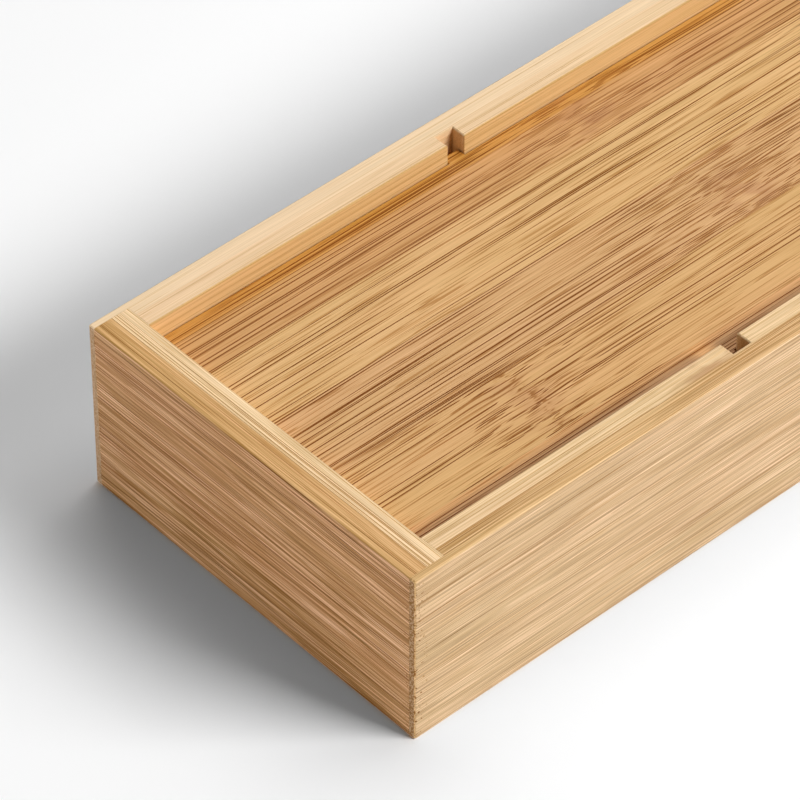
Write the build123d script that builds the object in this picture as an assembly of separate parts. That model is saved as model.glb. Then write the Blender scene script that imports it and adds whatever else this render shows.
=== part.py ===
"""Bamboo desk organizer: a glued box with three square bays, two lift-out dividers and a lid.

The lid drops in below the rim and rests on a block in each corner. Its tabs stand in the same
slots that hold the dividers, so it can't slide along the box.

Millimetres. The origin is the middle of the underside, X runs along the box from its front end
to its rear end, Y points to its left side, and Z points up.
"""

import os

from build123d import *

# Case boards
case_length = 305.0
case_width = 110.0
case_height = 50.0
side_thickness = 9.6
end_thickness = 10.2
corner_lip = 2.0  # what a side board keeps outside the end board that is let into it
corner_round = 0.6  # on every outer edge of the glued case
rim_chamfer = 0.3  # on the inner edges of the rim

# Floor panel, in a groove round the inside of the four boards
floor_thickness = 5.0
floor_height = 3.0  # from the table to the panel's underside
groove_depth = 3.0
groove_slack = 0.3  # left free behind each edge of the panel

# Dividers, and the slots cut for them through the whole height of the side boards
end_bay = 91.3  # from an end board to the nearest slot
divider_thickness = 5.0
divider_side_gap = 0.15
divider_end_gap = 0.3
divider_chamfer = 0.3
slot_depth = 4.2

# Lid
lid_thickness = 5.0
lid_recess = 5.4  # from the rim down to the lid's upper face
lid_gap = 0.3  # between the lid's edges and the boards
lid_chamfer = 0.2
lid_over_divider = 0.5
tab_reach = 2.2  # how far a tab stands into its slot
tab_gap = 0.15
thumb_radius = 11.0  # of the half-round notch in the lid's rear edge

# Corner blocks
block_size = 9.0

# Places that follow from the sizes above
inner_length = case_length - 2 * end_thickness
inner_width = case_width - 2 * side_thickness
slot_width = divider_thickness + 2 * divider_side_gap
slot_x = inner_length / 2 - end_bay - slot_width / 2
floor_top = floor_height + floor_thickness
lid_top = case_height - lid_recess
lid_underside = lid_top - lid_thickness
divider_height = lid_underside - lid_over_divider - floor_top

STANDING = (Align.CENTER, Align.CENTER, Align.MIN)


def block(length, width, height, x=0.0, y=0.0, z=0.0):
    """A square-edged block centred on x and y that stands on the level z."""
    return Pos(x, y, z) * Box(length, width, height, align=STANDING)


def flare(length, width, x=0.0, y=0.0):
    """The cutter that takes the sharp edge off an opening of this size in the rim."""
    mouth = Pos(x, y, case_height - rim_chamfer) * Rectangle(length, width)
    return extrude(mouth, amount=rim_chamfer, taper=-45)


def case_outline():
    """The whole outside of the case as one block, its edges sanded round after gluing."""
    blank = block(case_length, case_width, case_height)
    return fillet(blank.edges(), corner_round)


def floor_groove():
    """The space that the grooves of the four boards make together."""
    length = inner_length + 2 * groove_depth
    width = inner_width + 2 * groove_depth
    return block(length, width, floor_thickness, z=floor_height)


def slots():
    """Both pairs of opposite slots: each pair is one cutter across the box."""
    width = inner_width + 2 * slot_depth
    cutters = Part()
    for x in (-slot_x, slot_x):
        cutters += block(slot_width, width, case_height, x=x)
        cutters += flare(slot_width, width, x=x)
    return cutters


def side_board():
    """The right side, rabbeted at both ends so that only a thin lip covers the end board."""
    middle_y = -(case_width - side_thickness) / 2
    rabbet_y = -(inner_width + side_thickness - corner_lip) / 2
    board = block(case_length, side_thickness, case_height, y=middle_y)
    for x in (-1, 1):
        board -= block(
            end_thickness,
            side_thickness - corner_lip,
            case_height,
            x=x * (case_length - end_thickness) / 2,
            y=rabbet_y,
        )
    board -= slots()
    board -= floor_groove()
    board -= flare(inner_length, inner_width)
    return board & case_outline()


def end_board():
    """The front end, which fills the rabbets of both sides."""
    width = case_width - 2 * corner_lip
    board = block(end_thickness, width, case_height, x=-(case_length - end_thickness) / 2)
    board -= floor_groove()
    board -= flare(inner_length, inner_width)
    return board & case_outline()


def floor_panel():
    """The floor, with slack in the groove for the panel to swell."""
    overhang = 2 * (groove_depth - groove_slack)
    return block(inner_length + overhang, inner_width + overhang, floor_thickness, z=floor_height)


def divider(x):
    """A plain board that stands on the floor with both ends in a pair of slots."""
    width = inner_width + 2 * (slot_depth - divider_end_gap)
    board = block(divider_thickness, width, divider_height, x=x, z=floor_top)
    return chamfer(board.edges(), divider_chamfer)


def lid_panel():
    """The lid: a board with two tabs on each long edge and a thumb notch at the rear."""
    length = inner_length - 2 * lid_gap
    width = inner_width - 2 * lid_gap
    panel = block(length, width, lid_thickness, z=lid_underside)
    for x in (-slot_x, slot_x):
        tab_width = slot_width - 2 * tab_gap
        panel += block(
            tab_width, inner_width + 2 * tab_reach, lid_thickness, x=x, z=lid_underside
        )
    notch = Cylinder(thumb_radius, lid_thickness, align=STANDING)
    panel -= Pos(length / 2, 0, lid_underside) * notch
    faces = panel.faces().sort_by(Axis.Z)
    return chamfer(faces[0].edges() + faces[-1].edges(), lid_chamfer)


def rest_block(end, side):
    """A glued corner block that stiffens the joint and carries a corner of the lid."""
    x = end * (inner_length - block_size) / 2
    y = side * (inner_width - block_size) / 2
    return block(block_size, block_size, lid_underside - floor_top, x=x, y=y, z=floor_top)


right_side = side_board()
front_end = end_board()

pieces = {
    "right_side": right_side,
    "left_side": mirror(right_side, about=Plane.XZ),
    "front_end": front_end,
    "rear_end": mirror(front_end, about=Plane.YZ),
    "floor_panel": floor_panel(),
    "front_divider": divider(-slot_x),
    "rear_divider": divider(slot_x),
    "lid": lid_panel(),
}
for end_name, end in (("front", -1), ("rear", 1)):
    for side_name, side in (("right", -1), ("left", 1)):
        pieces[f"rest_block_{end_name}_{side_name}"] = rest_block(end, side)

os.makedirs("parts", exist_ok=True)
for name, piece in pieces.items():
    export_step(piece, f"parts/{name}.step")
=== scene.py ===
# %% [markdown]
# # A bamboo desk organizer with a lift-out lid
#
# The object is a long, low box glued up from four bamboo boards round a floor panel. Two
# loose dividers stand in slots that are cut from rim to foot, and a flat lid drops in below
# the rim. The construction comes ready from the CAD frame, at its real size and in metres,
# so this script is about what a camera sees: sanded edges, layered bamboo and soft light.

# %% Load the fixed frame
import math

import bmesh
import bpy
from mathutils import Matrix, Vector


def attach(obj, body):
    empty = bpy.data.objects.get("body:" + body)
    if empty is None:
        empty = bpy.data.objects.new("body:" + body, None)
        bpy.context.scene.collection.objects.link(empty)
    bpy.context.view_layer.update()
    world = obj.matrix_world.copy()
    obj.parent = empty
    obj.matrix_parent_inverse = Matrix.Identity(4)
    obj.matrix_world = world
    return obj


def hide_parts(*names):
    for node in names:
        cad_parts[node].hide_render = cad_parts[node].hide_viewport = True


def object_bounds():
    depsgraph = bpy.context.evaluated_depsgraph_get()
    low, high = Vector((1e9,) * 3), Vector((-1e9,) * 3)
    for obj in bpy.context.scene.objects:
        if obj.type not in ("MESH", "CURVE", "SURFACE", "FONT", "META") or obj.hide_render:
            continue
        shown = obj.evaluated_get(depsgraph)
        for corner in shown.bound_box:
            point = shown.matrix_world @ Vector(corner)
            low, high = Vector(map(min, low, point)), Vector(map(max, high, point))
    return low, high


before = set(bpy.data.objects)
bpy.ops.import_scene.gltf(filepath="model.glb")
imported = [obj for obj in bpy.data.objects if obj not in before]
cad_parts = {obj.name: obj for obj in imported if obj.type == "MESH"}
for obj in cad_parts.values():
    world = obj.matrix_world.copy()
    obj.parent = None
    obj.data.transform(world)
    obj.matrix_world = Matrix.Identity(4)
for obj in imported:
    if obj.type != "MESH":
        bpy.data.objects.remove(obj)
cad_low, cad_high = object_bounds()
MM = 0.001
case_length, case_width, case_height = ((cad_high - cad_low) / MM)[:]
print("boards and panels in the frame:", ", ".join(sorted(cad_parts)))
print("outside size in mm:", [round(side, 1) for side in (case_length, case_width, case_height)])

# %% [markdown]
# ## The camera
#
# The camera stands well back with a long lens, which keeps the box's parallel edges almost
# parallel. It looks down past the near corner of the front end, from 44 degrees above the
# table. The view is set by three plain things: the point on the table where it looks, from
# which direction, and from how far.

# %% Camera
LOOK_AT = Vector((-0.08199, 0.02783, 0.0))
CAMERA_BEARING = -132.142  # degrees from +X towards +Y
CAMERA_RISE = 43.961  # degrees above the table
CAMERA_DISTANCE = 1.31693
LENS_MM = 251.34


def direction(bearing, rise):
    """The unit vector from the table towards something at this bearing and rise, in degrees."""
    bearing, rise = math.radians(bearing), math.radians(rise)
    level = math.cos(rise)
    return Vector((level * math.cos(bearing), level * math.sin(bearing), math.sin(rise)))


def place(name, data):
    """Puts new data in the scene as an object of that name."""
    thing = bpy.data.objects.new(name, data)
    bpy.context.scene.collection.objects.link(thing)
    return thing


camera = place("camera", bpy.data.cameras.new("camera"))
bpy.context.scene.camera = camera
towards_camera = direction(CAMERA_BEARING, CAMERA_RISE)
camera.location = LOOK_AT + CAMERA_DISTANCE * towards_camera
camera.rotation_mode = "QUATERNION"
camera.rotation_quaternion = (-towards_camera).to_track_quat("-Z", "Y")
camera.data.lens = LENS_MM
camera.data.clip_end = 50
print("camera stands", round(CAMERA_DISTANCE, 2), "m from its target with a", LENS_MM, "mm lens")

# %% [markdown]
# ## The studio
#
# The table top is white and reaches far past the picture. The light is a product studio's:
# a strong soft box at the right lights the long side and throws the soft shadow to the
# left, and a wide one high at the back puts a sheen on every face that looks up. A small one
# overhead and a faint one in front lift the tones a little. The last stands in front as well,
# narrow and hardly above the table, and opens up the foot of the front end. Each is turned
# towards the middle of the box.

# %% Soft boxes
SOFT_BOXES = {
    # name: bearing and rise in degrees, distance, width and height in metres, power in watts
    "right_box": (-60, 36.5, 3.0, 1.6, 0.9, 99.0),
    "back_box": (34, 52, 3.0, 3.6, 3.6, 53.0),
    "top_box": (0, 70, 1.5, 0.9, 0.9, 3.5),
    "low_front_box": (180, 4, 1.5, 0.6, 0.2, 8.5),
    "front_box": (180, 30, 1.5, 0.9, 0.9, 0.8),
}
ROOM_LIGHT = 0.0  # the room itself stays dark, so the soft boxes do it all


def soft_box(name, bearing, rise, distance, width, height, power):
    """A flat lamp that faces the middle of the box and stays out of the picture."""
    light = bpy.data.lights.new(name, "AREA")
    light.shape = "RECTANGLE"
    light.size, light.size_y = width, height
    light.energy = power
    lamp = place(name, light)
    aim = direction(bearing, rise)
    lamp.location = aim * distance
    lamp.rotation_mode = "QUATERNION"
    lamp.rotation_quaternion = aim.to_track_quat("Z", "Y")
    lamp.visible_camera = False
    return lamp


for name, values in SOFT_BOXES.items():
    soft_box(name, *values)
world = bpy.data.worlds.new("room")
bpy.context.scene.world = world
world.use_nodes = True
room = world.node_tree.nodes["Background"]
room.inputs["Color"].default_value = (1, 1, 1, 1)
room.inputs["Strength"].default_value = ROOM_LIGHT
bpy.context.scene.view_settings.view_transform = "Standard"
print(len(SOFT_BOXES), "soft boxes, together", sum(box[-1] for box in SOFT_BOXES.values()), "W")

# %% Table top
TABLE_SIZE = 12.0  # in metres
table_top = place("table_top", bpy.data.meshes.new("table_top"))
sheet = bmesh.new()
bmesh.ops.create_grid(sheet, x_segments=1, y_segments=1, size=TABLE_SIZE / 2)
sheet.to_mesh(table_top.data)
sheet.free()

# %% [markdown]
# ## Boards with sanded edges
#
# A board comes off the saw with edges as sharp as the CAD solid's, and a few strokes of fine
# paper break them. The solid's own mesh is loose triangles, so a copy is taken, its doubled
# corners are merged, the flat triangles are dissolved back into whole faces, and every edge
# that is still sharp gets a bevel as wide as the sandpaper leaves. The bevels also draw the
# hairlines along the glued joints. The copy then stands for the CAD node.

# %% Sand a board
FLAT_ANGLE = math.radians(0.5)
SHARP_ANGLE = math.radians(30)
SAME_CORNER = 0.001  # corners this near each other are one, in millimetres
BEVEL_STEPS = 2


def sanded(node_name, piece_name, body, width_mm):
    """A copy of a CAD node with merged faces and broken edges, in the node's own place."""
    piece = place(piece_name, bpy.data.meshes.new(piece_name))
    board = bmesh.new()
    board.from_mesh(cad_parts[node_name].data)
    bmesh.ops.remove_doubles(board, verts=board.verts, dist=SAME_CORNER * MM)
    bmesh.ops.dissolve_limit(
        board, angle_limit=FLAT_ANGLE, verts=board.verts, edges=board.edges
    )
    sharp = [edge for edge in board.edges if edge.calc_face_angle(0) > SHARP_ANGLE]
    bmesh.ops.bevel(
        board, geom=sharp, offset=width_mm * MM, offset_type="OFFSET", affect="EDGES",
        segments=BEVEL_STEPS, profile=0.5, clamp_overlap=True, material=-1,
    )
    for face in board.faces:
        face.smooth = True
    board.to_mesh(piece.data)
    board.free()
    weighted = piece.modifiers.new("flat faces stay flat", "WEIGHTED_NORMAL")
    weighted.weight = 100
    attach(piece, body)
    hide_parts(node_name)
    print(piece_name, "has", len(piece.data.polygons), "faces, edges broken by", width_mm, "mm")
    return piece


# %% Cut the pieces
SANDED_WIDTH = 0.08  # in millimetres
GLUED_BOARDS = {
    "front_end": "front_end_board",
    "rear_end": "rear_end_board",
    "right_side": "right_side_board",
    "left_side": "left_side_board",
    "floor_panel": "floor_board",
    "rest_block_front_right": "front_right_block",
    "rest_block_front_left": "front_left_block",
    "rest_block_rear_right": "rear_right_block",
    "rest_block_rear_left": "rear_left_block",
}
boards = {}
for node_name, piece_name in GLUED_BOARDS.items():
    boards[node_name] = sanded(node_name, piece_name, "case", SANDED_WIDTH)
for node_name in ("lid", "front_divider", "rear_divider"):
    boards[node_name] = sanded(node_name, node_name + "_board", node_name, SANDED_WIDTH)

# %% [markdown]
# ## Writing shaders as sums
#
# Bamboo's look is one idea with many settings: long fibres, thin and dark, in a paler
# ground. The next helpers place one shader node each and pass its output on, so that a
# pattern reads like a sum instead of a list of wires.

# %% Node helpers
NOISE_ROUGHNESS = 0.55


def feed(tree, value, socket):
    """Wires an output socket in, or sets a plain value."""
    if isinstance(value, bpy.types.NodeSocket):
        tree.links.new(value, socket)
    else:
        socket.default_value = value


def calc(tree, operation, *values):
    """One Math node."""
    node = tree.nodes.new("ShaderNodeMath")
    node.operation = operation
    for value, socket in zip(values, node.inputs):
        feed(tree, value, socket)
    return node.outputs["Value"]


def vector_calc(tree, operation, *values, output="Vector"):
    """One Vector Math node."""
    node = tree.nodes.new("ShaderNodeVectorMath")
    node.operation = operation
    for value, socket in zip(values, node.inputs):
        feed(tree, value, socket)
    return node.outputs[output]


def join(tree, x, y, z):
    """A vector from three numbers."""
    node = tree.nodes.new("ShaderNodeCombineXYZ")
    for value, socket in zip((x, y, z), node.inputs):
        feed(tree, value, socket)
    return node.outputs["Vector"]


def split(tree, vector):
    """The three numbers of a vector, under X, Y and Z."""
    node = tree.nodes.new("ShaderNodeSeparateXYZ")
    feed(tree, vector, node.inputs["Vector"])
    return node.outputs


def noise(tree, position, per_mm, detail=0.0, output="Fac"):
    """Soft noise around 0.5. per_mm says how often it changes in a millimetre, each way."""
    node = tree.nodes.new("ShaderNodeTexNoise")
    feed(tree, vector_calc(tree, "MULTIPLY", position, per_mm), node.inputs["Vector"])
    node.inputs["Scale"].default_value = 1.0
    node.inputs["Detail"].default_value = detail
    node.inputs["Roughness"].default_value = NOISE_ROUGHNESS
    return node.outputs[output]


def ease(tree, value, low, high):
    """0 at the low value and 1 at the high one, with a soft start and end."""
    node = tree.nodes.new("ShaderNodeMapRange")
    node.interpolation_type = "SMOOTHSTEP"
    for label, number in {"Value": value, "From Min": low, "From Max": high}.items():
        feed(tree, number, node.inputs[label])
    return node.outputs["Result"]


def swing(tree, noise_value):
    """Soft noise around 0.5, carried over to -1..1."""
    return calc(tree, "MULTIPLY_ADD", noise_value, 2.0, -1.0)


def scaled(tree, mask, reach, base=1.0):
    """The base where the mask is 0, and as much more as the reach says where it is 1."""
    return calc(tree, "MULTIPLY_ADD", mask, reach, base)


def end_distance(tree, board, length):
    """How far a place in board millimetres is from the nearer end of its board."""
    along_board = split(tree, board)["X"]
    return calc(tree, "MINIMUM", along_board, calc(tree, "SUBTRACT", length, along_board))


def mix(tree, share, first, second):
    """The first colour, with a share of the second in it."""
    node = tree.nodes.new("ShaderNodeMix")
    node.data_type = "RGBA"
    colour_inputs = [socket for socket in node.inputs if socket.type == "RGBA"]
    feed(tree, share, node.inputs["Factor"])
    feed(tree, first, colour_inputs[0])
    feed(tree, second, colour_inputs[1])
    return next(socket for socket in node.outputs if socket.type == "RGBA")


# %% Group helpers
SOCKETS = {"number": "NodeSocketFloat", "vector": "NodeSocketVector"}


def new_group(name, inputs, outputs):
    """An empty group with named sockets. Returns its tree, what it is given, and its results."""
    tree = bpy.data.node_groups.new(name, "ShaderNodeTree")
    for label, kind in inputs.items():
        tree.interface.new_socket(label, in_out="INPUT", socket_type=SOCKETS[kind])
    for label, kind in outputs.items():
        tree.interface.new_socket(label, in_out="OUTPUT", socket_type=SOCKETS[kind])
    given = tree.nodes.new("NodeGroupInput").outputs
    results = tree.nodes.new("NodeGroupOutput").inputs
    return tree, given, results


def use_group(tree, name, **values):
    """One node of a group. An underscore in a keyword stands for a space in the socket's name."""
    node = tree.nodes.new("ShaderNodeGroup")
    node.node_tree = bpy.data.node_groups[name]
    for label, value in values.items():
        feed(tree, value, node.inputs[label.replace("_", " ")])
    return node.outputs


# %% [markdown]
# ## Bundles
#
# Bamboo has no year rings. Its stalk is packed with bundles of fibre, each a few tenths of
# a millimetre thick and very long. A cell texture places them the way the stalk does: every
# cell across the stalk holds one bundle, a dark core in its middle. The bundles wander a
# little, so a planed face cuts each of them for a few centimetres only. That is why they
# show as thin dark lines that fade in and out, and why a face across the stalk shows dots.
# Between them run short dark flecks and pale glints, as fine as single fibres. The glints are a
# painted sheen: lighter colour where fibres would catch the light. All positions are in the
# board's own millimetres, with X along the stalk. Crowding says what share of the bundles is
# dark, and Wander how restless they are.

# %% Group: bamboo fibres
BUNDLE_PITCH = 0.54  # in millimetres, as all lengths from here on
BUNDLE_RADIUS = 0.16
CORE_SHARPNESS = (1.20, 0.70)  # a core is this many radii wide where it starts and where it is dark
SEED_STEP = (137.0, 31.7, 17.3)  # how far the next seed's patterns lie away
# changes in a millimetre, along the stalk and both ways across it
DRIFT_PACE, DRIFT = (0.014, 0.33, 0.33), (0.0, 0.9, 0.9)
RESTLESS_PACE, RESTLESS = (0.065, 0.50, 0.50), (0.0, 0.9, 2.2)
CROWD_PACE, CROWD_CONTRAST, CROWD_AT_KNUCKLE = (0.012, 0.28, 0.28), 0.85, 0.15
CHOSEN = (-0.05, 0.20)  # soft limits between pale bundles and dark ones
FLECK_PACE, FLECK_SWAY = (0.05, 2.9, 2.9), (0.0, 1.0, 0.2)
FLECK_LIMITS, GLINT_LIMITS = (0.60, 0.66), (0.40, 0.34)
STREAK_PACE = (0.032, 3.3, 3.3)
CLOUD_PACE = (0.012, 0.11, 0.11)
MIDDLE = (0.5, 0.5, 0.5)
tree, given, results = new_group(
    "bamboo fibres",
    {"Position": "vector", "Seed": "number", "Crowding": "number", "Wander": "number"},
    {
        "Lines": "number", "Flecks": "number", "Glints": "number",
        "Streaks": "number", "Cloud": "number",
    },
)
seed_step = join(tree, *(calc(tree, "MULTIPLY", given["Seed"], step) for step in SEED_STEP))
spot = vector_calc(tree, "ADD", given["Position"], seed_step)
drift = noise(tree, spot, DRIFT_PACE, output="Color")
drift = vector_calc(tree, "SUBTRACT", drift, MIDDLE)
restless = noise(tree, spot, RESTLESS_PACE, output="Color")
restless = vector_calc(tree, "SUBTRACT", restless, MIDDLE)
restless = vector_calc(tree, "MULTIPLY", restless, RESTLESS)
wander = join(tree, 0.0, given["Wander"], given["Wander"])
restless = vector_calc(tree, "MULTIPLY", restless, wander)
course = vector_calc(tree, "ADD", spot, restless)
course = split(tree, vector_calc(tree, "MULTIPLY_ADD", drift, DRIFT, course))
cells = tree.nodes.new("ShaderNodeTexVoronoi")
cells.voronoi_dimensions = "2D"
cells.inputs["Scale"].default_value = 1 / BUNDLE_PITCH
feed(tree, join(tree, course["Y"], course["Z"], 0.0), cells.inputs["Vector"])
radius = BUNDLE_RADIUS / BUNDLE_PITCH
core = ease(tree, cells.outputs["Distance"], *(radius * reach for reach in CORE_SHARPNESS))
crowds = calc(tree, "SUBTRACT", noise(tree, spot, CROWD_PACE), 0.5)
share = calc(tree, "MULTIPLY_ADD", crowds, CROWD_CONTRAST, given["Crowding"])
share = calc(tree, "MULTIPLY_ADD", given["Wander"], CROWD_AT_KNUCKLE, share)
draw = split(tree, cells.outputs["Color"])["X"]
chosen = ease(tree, calc(tree, "SUBTRACT", share, draw), *CHOSEN)
feed(tree, calc(tree, "MULTIPLY", core, chosen), results["Lines"])
flecks = noise(tree, vector_calc(tree, "MULTIPLY_ADD", restless, FLECK_SWAY, spot), FLECK_PACE)
feed(tree, ease(tree, flecks, *FLECK_LIMITS), results["Flecks"])
# the glints are painted sheen: pale fibre lines put into the colour
feed(tree, ease(tree, flecks, *GLINT_LIMITS), results["Glints"])
feed(tree, swing(tree, noise(tree, spot, STREAK_PACE, detail=1.0)), results["Streaks"])
feed(tree, swing(tree, noise(tree, spot, CLOUD_PACE, detail=1.0)), results["Cloud"])
print("bundles are", BUNDLE_PITCH, "mm apart and", 2 * BUNDLE_RADIUS, "mm thick")

# %% [markdown]
# ## Knuckles
#
# Every 20 to 30 cm the stalk has a knuckle, where the bundles weave through each other.
# They get restless there, so a planed strip shows short dashes instead of long lines. Small
# marks stand in a crooked row right across the strip, and the ground blushes reddish brown.

# %% Group: bamboo knuckle
KNUCKLE_REACH = 20.0
BLUSH_REACH = 8.0
ROW_REACH = 1.3
CROOKED_PACE, CROOKED = (0.08, 0.22, 0.22), 9.0
ROW_PACE, ROW_LIMITS = (0.45, 1.8, 1.8), (0.50, 0.63)
BLUSH_PACE, BLUSH_LIMITS = (0.13, 0.30, 0.30), (0.38, 0.66)
tree, given, results = new_group(
    "bamboo knuckle",
    {"Position": "vector", "Place": "number"},
    {"Near": "number", "Marks": "number", "Blush": "number"},
)


def hump(tree, distance, reach):
    """1 at no distance, fading to nothing beyond the reach."""
    ratio = calc(tree, "DIVIDE", distance, reach)
    squared = calc(tree, "MULTIPLY", ratio, ratio)
    return calc(tree, "EXPONENT", calc(tree, "MULTIPLY", squared, -1.0))


crooked = noise(tree, given["Position"], CROOKED_PACE, detail=1.0)
away = calc(tree, "SUBTRACT", split(tree, given["Position"])["X"], given["Place"])
away = calc(tree, "MULTIPLY_ADD", calc(tree, "SUBTRACT", crooked, 0.5), CROOKED, away)
feed(tree, hump(tree, away, KNUCKLE_REACH), results["Near"])
row = ease(tree, noise(tree, given["Position"], ROW_PACE), *ROW_LIMITS)
feed(tree, calc(tree, "MULTIPLY", row, hump(tree, away, ROW_REACH)), results["Marks"])
blush = ease(tree, noise(tree, given["Position"], BLUSH_PACE, detail=1.0), *BLUSH_LIMITS)
feed(tree, calc(tree, "MULTIPLY", blush, hump(tree, away, BLUSH_REACH)), results["Blush"])
print("a knuckle disturbs the bundles", KNUCKLE_REACH, "mm to each side")

# %% [markdown]
# ## Handling
#
# The box is lifted by its rim and pushed about on its foot. Hands polish the lacquer towards
# the rim, in patches, and the lowest few millimetres are made duller and a little darker, in
# patches. A board's ends keep what the saw did to them: small specks that it tore out near
# the end, and a ragged dark line where the end itself splintered. Both stop just below the
# rim, which is sanded clean. This group puts out the three masks.

# %% Group: handling
RIM_REACH = 12.0
FOOT_REACH = 3.5
PATCH_PACE, PATCH_LIMITS = (0.05, 0.05, 0.05), (0.35, 0.65)
FOOT_PATCH_PACE, FOOT_PATCH_LIMITS = (0.12, 0.12, 0.50), (0.30, 0.60)
NICK_REACH = 5.0
NICK_FULL = 0.4
SPECK_PACE, SPECK_LIMITS = (1.3, 1.5, 1.5), (0.69, 0.73)
TORN_REACH = 2.4
TORN_SHARE = 0.45
TORN_EDGE = 0.5
RAGGED_PACE = (0.2, 0.40, 0.40)
CLEAN_RIM = (0.3, 1.5)
tree, given, results = new_group(
    "handling",
    {"Place": "vector", "Height": "number", "Board": "vector", "Length": "number"},
    {"Polish": "number", "Foot Patches": "number", "Nicks": "number"},
)
up = split(tree, given["Place"])["Z"]
rim = ease(tree, calc(tree, "SUBTRACT", given["Height"], up), RIM_REACH, 0.0)
patches = ease(tree, noise(tree, given["Place"], PATCH_PACE, detail=2.0), *PATCH_LIMITS)
feed(tree, calc(tree, "MULTIPLY", rim, patches), results["Polish"])
foot = ease(tree, up, FOOT_REACH, 0.0)
foot_patches = ease(tree, noise(tree, given["Place"], FOOT_PATCH_PACE, detail=1.0), *FOOT_PATCH_LIMITS)
feed(tree, calc(tree, "MULTIPLY", foot, foot_patches), results["Foot Patches"])
from_end = end_distance(tree, given["Board"], given["Length"])
specks = ease(tree, noise(tree, given["Board"], SPECK_PACE), *SPECK_LIMITS)
specks = calc(tree, "MULTIPLY", specks, ease(tree, from_end, NICK_REACH, NICK_FULL))
ragged = noise(tree, given["Board"], RAGGED_PACE, detail=1.0)
torn = calc(tree, "MULTIPLY_ADD", ragged, TORN_REACH, -TORN_SHARE * TORN_REACH)
torn = calc(tree, "SUBTRACT", torn, from_end)
nicks = calc(tree, "MAXIMUM", specks, ease(tree, torn, 0.0, TORN_EDGE))
below_rim = calc(tree, "SUBTRACT", given["Height"], up)
feed(tree, calc(tree, "MULTIPLY", nicks, ease(tree, below_rim, *CLEAN_RIM)), results["Nicks"])
print("hands reach", RIM_REACH, "mm down from the rim, dirt", FOOT_REACH, "mm up from the foot")

# %% [markdown]
# ## One recipe for every board
#
# Bamboo boards are glued up from strips or thin plies. Each comes from another stalk, with
# its own tone, its own bundles and its own knuckles. So a board is described by a small
# table: where each strip starts, counted across the board in millimetres, and what it is
# like. Two colour ramps with hard steps read that table inside the shader. The first holds
# the tones, and as alpha how deep the knuckle is cut. The second holds three more numbers as
# red, green and blue, and the seed as alpha.

# %% Strip tables inside a shader
LONGEST_BOARD = 400.0
MOST_SEEDS = 50.0


def stepped_ramp(tree, share, starts, colours):
    """A colour ramp with hard steps."""
    ramp = tree.nodes.new("ShaderNodeValToRGB")
    ramp.color_ramp.interpolation = "CONSTANT"
    steps = ramp.color_ramp.elements
    while len(steps) > 1:
        steps.remove(steps[-1])
    for start, colour in zip(starts, colours):
        step = steps[0] if start == starts[0] else steps.new(start)
        step.position = start
        step.color = colour
    feed(tree, share, ramp.inputs["Fac"])
    return ramp.outputs


def read_strips(tree, across, width, strips):
    """The tone and the traits of the strip at this place across the board."""
    share = calc(tree, "DIVIDE", across, width)
    starts = [strip[0] / width for strip in strips]
    tones = stepped_ramp(tree, share, starts, [(*strip[1], strip[5]) for strip in strips])
    packed = stepped_ramp(
        tree, share, starts,
        [
            (strength, crowding, knuckle / LONGEST_BOARD, seed / MOST_SEEDS)
            for _, _, strength, crowding, knuckle, _, seed in strips
        ],
    )
    numbers = tree.nodes.new("ShaderNodeSeparateColor")
    feed(tree, packed["Color"], numbers.inputs["Color"])
    return {
        "tone": tones["Color"],
        "depth": tones["Alpha"],
        "strength": numbers.outputs["Red"],
        "crowding": numbers.outputs["Green"],
        "knuckle": calc(tree, "MULTIPLY", numbers.outputs["Blue"], LONGEST_BOARD),
        "seed": calc(tree, "MULTIPLY", packed["Alpha"], MOST_SEEDS),
    }


# %% [markdown]
# ## The bamboo finish
#
# The finish turns the piece's own coordinates into board millimetres, reads the strip table,
# and lays fibres and knuckles over the strip's tone. The thin plies of the sides and ends come
# from a finer part of the stalk than the lid's broad strips, so their fibres are drawn more
# slender. Their streaks show on the planed outer face and are calmer on the plies' edges.
#
# Where a face looks along the grain the cut ends show instead. They have one brown of their
# own, dotted with pores that are as deep as the strip's lines are strong. The walls of a slot
# are sawn far from the board's ends and keep the tone of their ply. A satin lacquer covers
# all of it. It soaks away into the dark fibres and the cut ends, so those stay duller, and
# handling polishes it near the rim. The sanded edge towards the inside is rubbed right
# through it, so it is dull. Its colour is also darkened a bit there as painted shade, which
# holds back the light that falls on these edges.
#
# A wooden wall also throws brown light on the white table at its foot, which a studio picture
# is cleaned of. Light Path tells the rays that carry this light apart from all others, and
# to them alone the box's outer skin answers with grey.

# %% Bamboo
FIBRE_DYE = (0.27, 0.135, 0.03)  # what a dark fibre leaves of the red, green and blue light
KNUCKLE_RED = (0.42, 0.17, 0.055, 1)
NEUTRAL_BOUNCE = (0.36, 0.36, 0.36, 1)
SKIN = 0.1  # the depth of the planed outer face, in millimetres
# how dark knuckle marks, flecks and nicks are
MARK_DEPTH, FLECK_DEPTH, NICK_DEPTH = 0.5, 0.30, 0.7
KNUCKLE_CALM = 0.55  # what a shallow knuckle takes from the lines around it
BLUSH_DEPTH, BLUSH_LOSS = 0.50, 0.15  # a deeply cut knuckle blushes a little less
# the light and colour of the ground between them
CLOUD_DEPTH, CLOUD_HUE = 0.04, 0.006
# how much darker the colour gets towards the foot, in patches
FOOT_DARKENING = 0.14
PALE_LOSS = 0.3  # a paler streak is less colourful
# painted shade: how much darker the colour of the inward-looking sanded edges is made
EDGE_SHADE_DEPTH = 0.25
RUBBED_SHADED_FROM, RUBBED_SHADED_UNTIL = (0.3, 0.6), (0.95, 0.85)  # how far a rubbed edge looks inwards
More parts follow.
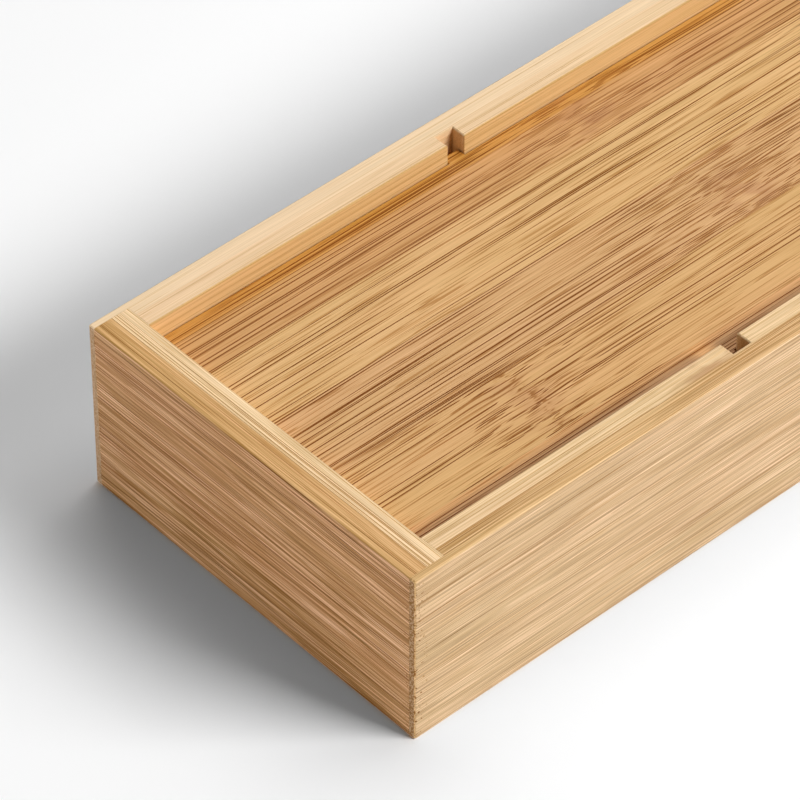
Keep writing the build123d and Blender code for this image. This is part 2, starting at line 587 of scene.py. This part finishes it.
# the cut ends
END_GRAIN = (0.535, 0.370, 0.250)
END_FROM = (0.88, 0.98)  # how far a face looks along the grain
PORE_PACE, PORE_LIMITS = (0.3, 1.6, 1.6), (0.42, 0.58)
PORE_DEPTH, DEEPEST_PORE = 2.1, 0.75
BROWN_REACH = 15.0  # so near its ends a board's cut grain is brown, and twice as far it isn't
PORE_CONTRAST, PORE_GROUND = 0.60, 0.15
END_THIRST = 0.8  # the share of the lacquer that a cut end soaks up
# the surface
BARE_ROUGHNESS, CLOUD_ROUGHNESS, FIBRE_ROUGHNESS = 0.50, 0.10, 0.20
POLISH, FOOT_ROUGHNESS = 0.15, 0.20
BARE_SHINE = 0.06
LACQUER_ROUGHNESS = 0.42
FIBRE_RELIEF = 0.03


def dyed(tree, colour, share):
    """The colour behind a share of dark fibre, which soaks up blue sooner than red."""
    left = join(tree, *(calc(tree, "POWER", base, share) for base in FIBRE_DYE))
    return vector_calc(tree, "MULTIPLY", colour, left)


def board_position(tree, object_position, along, across, start):
    """Board millimetres: X along the grain, Y across from the start, Z the third way."""
    turn = Matrix((along, across, Vector(along).cross(Vector(across))))
    mapping = tree.nodes.new("ShaderNodeMapping")
    mapping.inputs["Scale"].default_value = (1 / MM, 1 / MM, 1 / MM)
    mapping.inputs["Rotation"].default_value = turn.to_euler()
    mapping.inputs["Location"].default_value = -(turn @ Vector(start))
    feed(tree, object_position, mapping.inputs["Vector"])
    return mapping.outputs["Vector"]


def bamboo(
    name, along, across, start, length, width, strips,
    fineness=1.4, streak=2.5, glint=0.80, lacquer=0.45, edges=1.0,
):
    """A lacquered bamboo finish.

    along and across are the grain's and the strips' directions, and start is the corner that
    the table counts from, in millimetres. A strip is (start, tone, strength of its lines,
    crowding, place and depth of its knuckle, seed). fineness says how slender the fibres are,
    streak and glint how much their streaks and pale glints show, lacquer how thick it is, and
    edges what share of the streaks and glints is left below the skin.
    """
    material = bpy.data.materials.new(name)
    material.use_nodes = True
    tree = material.node_tree
    shader = tree.nodes["Principled BSDF"]
    source = tree.nodes.new("ShaderNodeTexCoord").outputs
    position = board_position(tree, source["Object"], along, across, start)
    strip = read_strips(tree, split(tree, position)["Y"], width, strips)
    handled = use_group(
        tree, "handling", Place=vector_calc(tree, "DIVIDE", source["Object"], (MM, MM, MM)),
        Height=case_height, Board=position, Length=length,
    )

    knuckle = use_group(tree, "bamboo knuckle", Position=position, Place=strip["knuckle"])
    slender = vector_calc(tree, "MULTIPLY", position, (1.0, fineness, fineness))
    fibres = use_group(
        tree, "bamboo fibres", Position=slender, Seed=strip["seed"],
        Crowding=strip["crowding"], Wander=knuckle["Near"],
    )
    marks = calc(tree, "MULTIPLY", strip["depth"], MARK_DEPTH)
    marks = calc(tree, "MULTIPLY", knuckle["Marks"], marks)
    flecks = scaled(tree, knuckle["Near"], FLECK_DEPTH, base=FLECK_DEPTH)
    flecks = calc(tree, "MULTIPLY", fibres["Flecks"], flecks)
    dark = calc(tree, "MAXIMUM", calc(tree, "MAXIMUM", fibres["Lines"], flecks), marks)
    calm = scaled(tree, strip["depth"], KNUCKLE_CALM, base=-KNUCKLE_CALM)
    calm = calc(tree, "MULTIPLY", knuckle["Near"], calm)
    strength = calc(tree, "MULTIPLY_ADD", calm, strip["strength"], strip["strength"])
    dark = calc(tree, "MULTIPLY", dark, strength)
    dark = calc(tree, "MAXIMUM", dark, calc(tree, "MULTIPLY", handled["Nicks"], NICK_DEPTH))

    on_skin = calc(tree, "LESS_THAN", split(tree, position)["Y"], SKIN)
    lively = calc(tree, "MULTIPLY", scaled(tree, on_skin, 1.0 - edges, base=edges), strip["strength"])
    streaks = calc(tree, "MULTIPLY", lively, streak)
    light = scaled(tree, fibres["Cloud"], CLOUD_DEPTH)
    light = calc(tree, "MULTIPLY_ADD", fibres["Streaks"], streaks, light)
    # painted sheen: the glints lighten the colour along single fibres
    glints = calc(tree, "MULTIPLY", fibres["Glints"], lively)
    light = calc(tree, "MULTIPLY_ADD", glints, glint, light)
    # darker towards the foot, in patches
    light = calc(tree, "MULTIPLY", light, scaled(tree, handled["Foot Patches"], -FOOT_DARKENING))
    # inward-looking sanded edges: the lacquer is gone there, and painted shade darkens their colour
    looks_in = vector_calc(tree, "DOT_PRODUCT", source["Normal"], across, output="Value")
    rubbed_and_shaded = ease(tree, looks_in, *RUBBED_SHADED_FROM)
    rubbed_and_shaded = calc(tree, "MULTIPLY", rubbed_and_shaded, ease(tree, looks_in, *RUBBED_SHADED_UNTIL))
    light = calc(tree, "MULTIPLY", light, scaled(tree, rubbed_and_shaded, -EDGE_SHADE_DEPTH))
    shades = tree.nodes.new("ShaderNodeHueSaturation")
    feed(tree, strip["tone"], shades.inputs["Color"])
    feed(tree, light, shades.inputs["Value"])
    feed(tree, scaled(tree, light, -PALE_LOSS, base=1.0 + PALE_LOSS), shades.inputs["Saturation"])
    feed(tree, scaled(tree, fibres["Cloud"], -CLOUD_HUE, base=0.5), shades.inputs["Hue"])
    blush = scaled(tree, strip["depth"], -BLUSH_LOSS, base=BLUSH_DEPTH)
    blush = calc(tree, "MULTIPLY", knuckle["Blush"], blush)
    colour = mix(tree, blush, shades.outputs["Color"], KNUCKLE_RED)
    colour = dyed(tree, colour, dark)

    looks_along = vector_calc(tree, "DOT_PRODUCT", source["Normal"], along, output="Value")
    end_mask = ease(tree, calc(tree, "ABSOLUTE", looks_along), *END_FROM)
    pores = ease(tree, noise(tree, position, PORE_PACE, detail=1.0), *PORE_LIMITS)
    pores = calc(tree, "MAXIMUM", pores, fibres["Lines"])
    pores = scaled(tree, pores, PORE_CONTRAST, base=PORE_GROUND)
    deep = calc(tree, "MULTIPLY", strip["strength"], PORE_DEPTH)
    deep = calc(tree, "MINIMUM", deep, DEEPEST_PORE)
    end_colour = dyed(tree, END_GRAIN, calc(tree, "MULTIPLY", pores, deep))
    near_end = ease(tree, end_distance(tree, position, length), 2 * BROWN_REACH, BROWN_REACH)
    browned = calc(tree, "MULTIPLY", end_mask, near_end)
    colour = mix(tree, browned, colour, end_colour)
    carries_light = tree.nodes.new("ShaderNodeLightPath").outputs["Is Diffuse Ray"]
    neutral = calc(tree, "MULTIPLY", carries_light, on_skin)
    feed(tree, mix(tree, neutral, colour, NEUTRAL_BOUNCE), shader.inputs["Base Color"])

    rough = scaled(tree, fibres["Cloud"], CLOUD_ROUGHNESS, base=BARE_ROUGHNESS)
    rough = scaled(tree, dark, FIBRE_ROUGHNESS, base=rough)
    rough = scaled(tree, handled["Polish"], -POLISH, base=rough)
    rough = scaled(tree, handled["Foot Patches"], FOOT_ROUGHNESS, base=rough)
    feed(tree, rough, shader.inputs["Roughness"])
    shader.inputs["Specular IOR Level"].default_value = BARE_SHINE
    filled = scaled(tree, dark, -lacquer, base=lacquer)
    filled = calc(tree, "MULTIPLY", filled, scaled(tree, end_mask, -END_THIRST))
    filled = calc(tree, "MULTIPLY", filled, calc(tree, "SUBTRACT", 1.0, rubbed_and_shaded))
    feed(tree, filled, shader.inputs["Coat Weight"])
    shader.inputs["Coat Roughness"].default_value = LACQUER_ROUGHNESS
    bump = tree.nodes.new("ShaderNodeBump")
    bump.inputs["Distance"].default_value = FIBRE_RELIEF * MM
    hollows = calc(tree, "MAXIMUM", fibres["Lines"], handled["Nicks"])
    feed(tree, calc(tree, "SUBTRACT", fibres["Streaks"], hollows), bump.inputs["Height"])
    feed(tree, bump.outputs["Normal"], shader.inputs["Normal"])
    print("finish", name, "has", len(strips), "strips and", len(tree.nodes), "nodes")
    return material


# %% [markdown]
# ## The strips of each board
#
# The long sides and the ends are two plies thick, which their upper edges show as two
# stripes: a tan one outside and a pale one inside. Their outer face is a planed one, and it
# has a tone of its own, so each table begins with a skin of a tenth of a millimetre. The lid
# and the floor are made of broad strips side by side, alternately pinkish brown and
# yellowish. The lid's first strip lies along the far wall. Its fibres are its own, but its deeper
# orange is a painted reflection: the wall's warm light and shade on the lid, put into the tone.
# The far wall's inner face is deepened to orange as well. That is partly its own tone and
# partly painted bounced light.

# %% Tones
SIDE_FACE = (0.557, 0.364, 0.187)
SIDE_OUTER_PLY = (0.631, 0.390, 0.168)
SIDE_INNER_PLY = (0.777, 0.538, 0.296)
FAR_OUTER_PLY = (0.826, 0.604, 0.376)
FAR_INNER_PLY = (0.801, 0.556, 0.325)
# the far wall's inner face: its own planed tone, deepened by painted orange light bounced between
# wall and lid
FAR_WALL_TONE_AND_GLOW = (0.739, 0.471, 0.211)
END_FACE = (0.448, 0.226, 0.081)
END_OUTER_PLY = (0.588, 0.335, 0.119)
END_INNER_PLY = (0.809, 0.572, 0.323)
# painted reflection: the far wall's warm light and shade on the lid's edge band
LID_PAINTED_WALL_GLOW = (0.559, 0.269, 0.050)
LID_PINK = (0.570, 0.291, 0.092)
LID_GOLD = (0.659, 0.383, 0.141)
LID_TAN = (0.618, 0.342, 0.132)
LID_SAND = (0.628, 0.353, 0.125)
LID_BROWN = (0.662, 0.336, 0.114)
GOLD, OCHRE, TAN = LID_GOLD, LID_TAN, SIDE_OUTER_PLY
FAR_AWAY = 390.0

# %% Strips
# start, tone, strength of lines, crowding, place and depth of the knuckle, seed
RIGHT_SIDE_PLIES = [
    (0.0, SIDE_FACE, 0.33, 0.45, FAR_AWAY, 0, 1),
    (SKIN, SIDE_OUTER_PLY, 0.42, 0.50, FAR_AWAY, 0, 2),
    (4.6, SIDE_INNER_PLY, 0.28, 0.40, 93, 0, 3),
]
LEFT_SIDE_PLIES = [
    (0.0, SIDE_FACE, 0.33, 0.45, 93, 0, 10),
    (SKIN, FAR_OUTER_PLY, 0.14, 0.25, FAR_AWAY, 0, 4),
    (4.8, FAR_INNER_PLY, 0.16, 0.40, FAR_AWAY, 0, 5),
    # the inner face: its own tone, partly painted bounced light
    (9.2, FAR_WALL_TONE_AND_GLOW, 0.18, 0.30, FAR_AWAY, 0, 6),
]
END_PLIES = [
    (0.0, END_FACE, 0.62, 0.60, FAR_AWAY, 0, 7),
    (SKIN, END_OUTER_PLY, 0.52, 0.60, FAR_AWAY, 0, 8),
    (5.1, END_INNER_PLY, 0.50, 0.50, FAR_AWAY, 0, 9),
]
LID_STRIPS = [
    # the first strip's tone is a painted reflection of the far wall on the lid
    (0.0, LID_PAINTED_WALL_GLOW, 0.75, 0.70, 138, 0, 16),
    (13.6, LID_PINK, 0.72, 0.85, 138, 0, 11),
    (26.0, LID_GOLD, 0.95, 0.58, 262, 0, 12),
    (48.0, LID_TAN, 0.95, 0.95, 146, 0, 13),
    (70.0, LID_SAND, 0.86, 0.50, 62, 1, 14),
    (92.5, LID_BROWN, 0.88, 0.90, 215, 0, 15),
]
FLOOR_STRIPS = [
    (0.0, GOLD, 0.60, 0.55, 70, 1, 21),
    (21.0, OCHRE, 0.70, 0.70, 205, 0, 22),
    (43.0, GOLD, 0.60, 0.60, 122, 1, 23),
    (66.0, LID_PINK, 0.70, 0.70, 250, 0, 24),
    (88.0, GOLD, 0.60, 0.60, 40, 1, 25),
]
DIVIDER_STRIPS = [
    (0.0, TAN, 0.50, 0.50, 60, 0, 31),
    (20.0, GOLD, 0.55, 0.60, FAR_AWAY, 0, 32),
]
BLOCK_STRIPS = [(0.0, TAN, 0.40, 0.55, FAR_AWAY, 0, 41)]

# %% Finishes
HALF_LENGTH, HALF_WIDTH = case_length / 2, case_width / 2
X, Y, Z = Vector((1, 0, 0)), Vector((0, 1, 0)), Vector((0, 0, 1))
front_left_corner = (-HALF_LENGTH, HALF_WIDTH, 0)
front_right_corner = (-HALF_LENGTH, -HALF_WIDTH, 0)
rear_right_corner = (HALF_LENGTH, -HALF_WIDTH, 0)
SIDE_THICKNESS, END_THICKNESS = 9.6, 10.2
CALM_EDGES = 0.45  # the share of the streaks that is left on the edges of the plies
finishes = {
    "right_side": bamboo(
        "right_side_bamboo", X, Y, front_right_corner, case_length, SIDE_THICKNESS,
        RIGHT_SIDE_PLIES, edges=CALM_EDGES,
    ),
    "left_side": bamboo(
        "left_side_bamboo", X, -Y, front_left_corner, case_length, SIDE_THICKNESS,
        LEFT_SIDE_PLIES, edges=CALM_EDGES,
    ),
    "front_end": bamboo(
        "front_end_bamboo", -Y, X, front_left_corner, case_width, END_THICKNESS, END_PLIES,
        streak=1.8, edges=CALM_EDGES,
    ),
    "rear_end": bamboo(
        "rear_end_bamboo", Y, -X, rear_right_corner, case_width, END_THICKNESS, END_PLIES,
        streak=1.8, edges=CALM_EDGES,
    ),
    "lid": bamboo(
        "lid_bamboo", X, -Y, front_left_corner, case_length, case_width, LID_STRIPS,
        fineness=1.0, streak=0.3, glint=0.06, lacquer=0.7,
    ),
    "floor_panel": bamboo(
        "floor_bamboo", X, Y, front_right_corner, case_length, case_width, FLOOR_STRIPS,
        fineness=1.0, streak=0.5, glint=0.15,
    ),
}
finishes["front_divider"] = finishes["rear_divider"] = bamboo(
    "divider_bamboo", Y, Z, (0, -HALF_WIDTH, 0), case_width, case_height, DIVIDER_STRIPS,
    streak=0.8, glint=0.25,
)
block_bamboo = bamboo(
    "block_bamboo", Z, X, front_right_corner, case_height, case_length, BLOCK_STRIPS,
    streak=0.8, glint=0.25,
)
for node_name, piece in boards.items():
    piece.data.materials.clear()
    piece.data.materials.append(finishes.get(node_name, block_bamboo))

# %% [markdown]
# ## The table's surface
#
# Plain matt white, nothing else: it only has to carry the shadow.

# %% Table surface
TABLE_WHITE = (0.92, 0.92, 0.92, 1)
TABLE_ROUGHNESS = 0.8
white = bpy.data.materials.new("table_white")
white.use_nodes = True
matt = white.node_tree.nodes["Principled BSDF"].inputs
matt["Base Color"].default_value = TABLE_WHITE
matt["Roughness"].default_value = TABLE_ROUGHNESS
table_top.data.materials.append(white)
